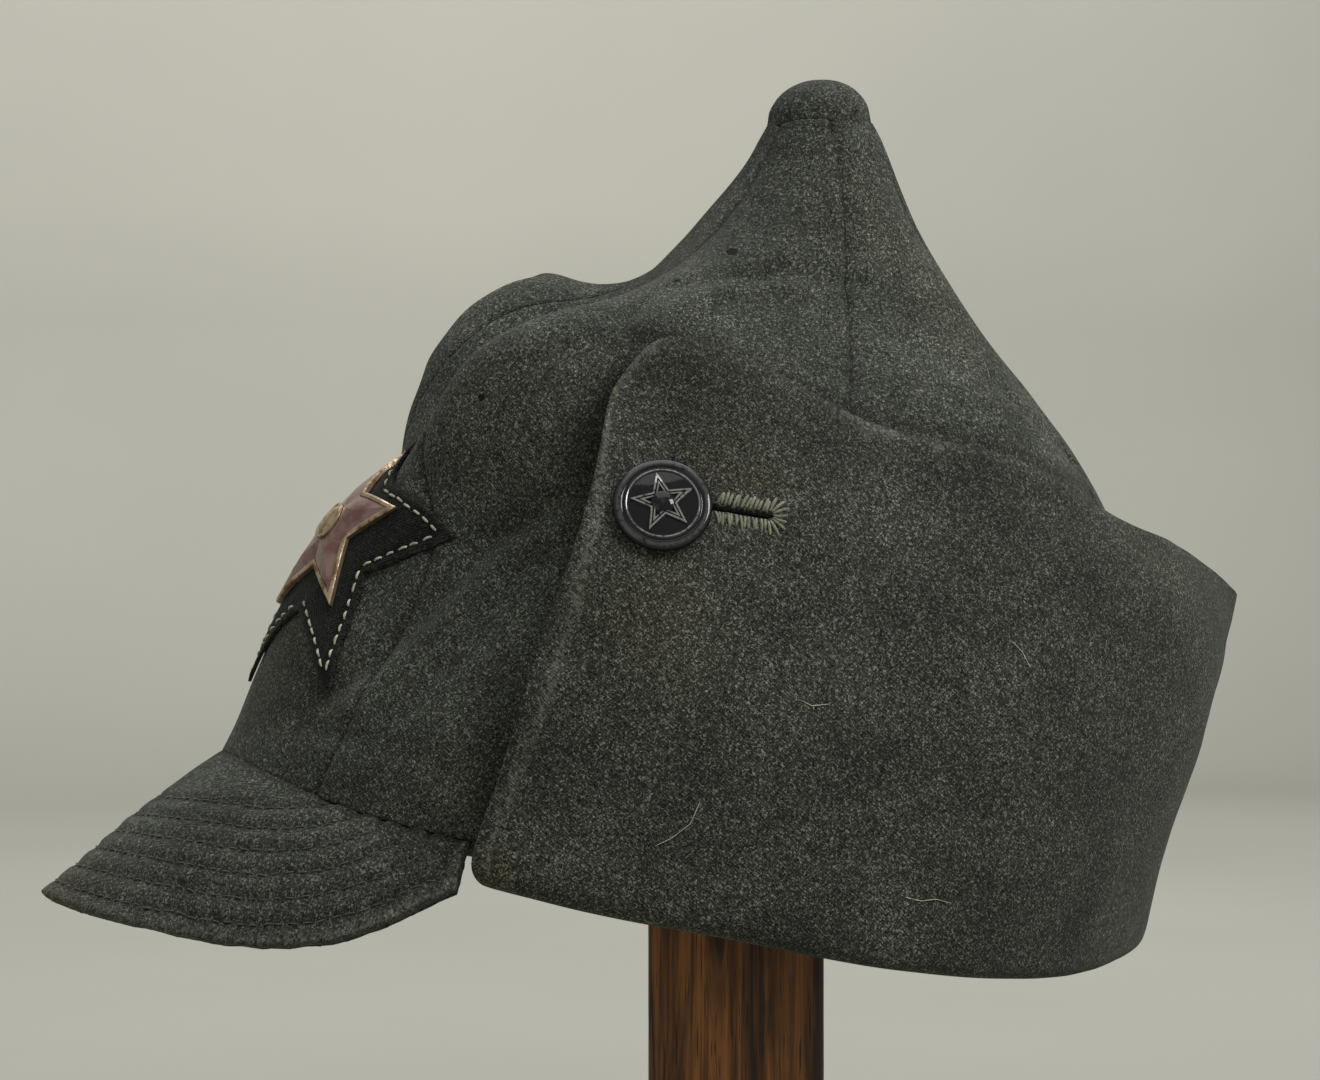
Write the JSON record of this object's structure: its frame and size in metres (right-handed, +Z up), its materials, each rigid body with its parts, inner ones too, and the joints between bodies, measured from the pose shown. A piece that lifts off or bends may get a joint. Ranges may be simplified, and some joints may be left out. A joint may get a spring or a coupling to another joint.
{
  "type": "budenovka cap on a wooden stand",
  "caption": "Pointed wool cap with a quilted peak, turned-up neck flap and star badge, resting on a plain square wooden post with a domed head and a round foot.",
  "frame": {"origin": "middle of the underside of the stand's foot, on the axis of the post", "axes": "+Z up along the post, -Y to the front of the cap, +X to the wearer's left"},
  "size_m": [0.1892, 0.2957, 0.3168],
  "materials": {
    "crown_wool": "matt grey-olive wool",
    "flap_wool": "matt grey-olive wool with pale flecks",
    "peak_wool": "matt grey-olive wool, stitched in rows",
    "dark_cloth": "matt, with pale hand stitches",
    "badge_metal": "worn",
    "badge_enamel": "glossy enamel",
    "button_lacquer": "glossy black",
    "stand_wood": "oiled walnut"
  },
  "bodies": {
    "root": {"gore_front": "crown_wool", "gore_left_front": "crown_wool", "gore_left_back": "crown_wool", "gore_back": "crown_wool", "gore_right_back": "crown_wool", "gore_right_front": "crown_wool", "tip_knob": "crown_wool", "peak": "peak_wool", "neck_flap": "flap_wool", "cloth_star": "dark_cloth", "badge_rim": "badge_metal", "badge_enamel": "badge_enamel", "badge_boss": "badge_metal", "button_left": "button_lacquer", "button_right": "button_lacquer", "stand_post": "stand_wood", "stand_head": "stand_wood", "stand_base": "stand_wood"}
  },
  "joints": []
}
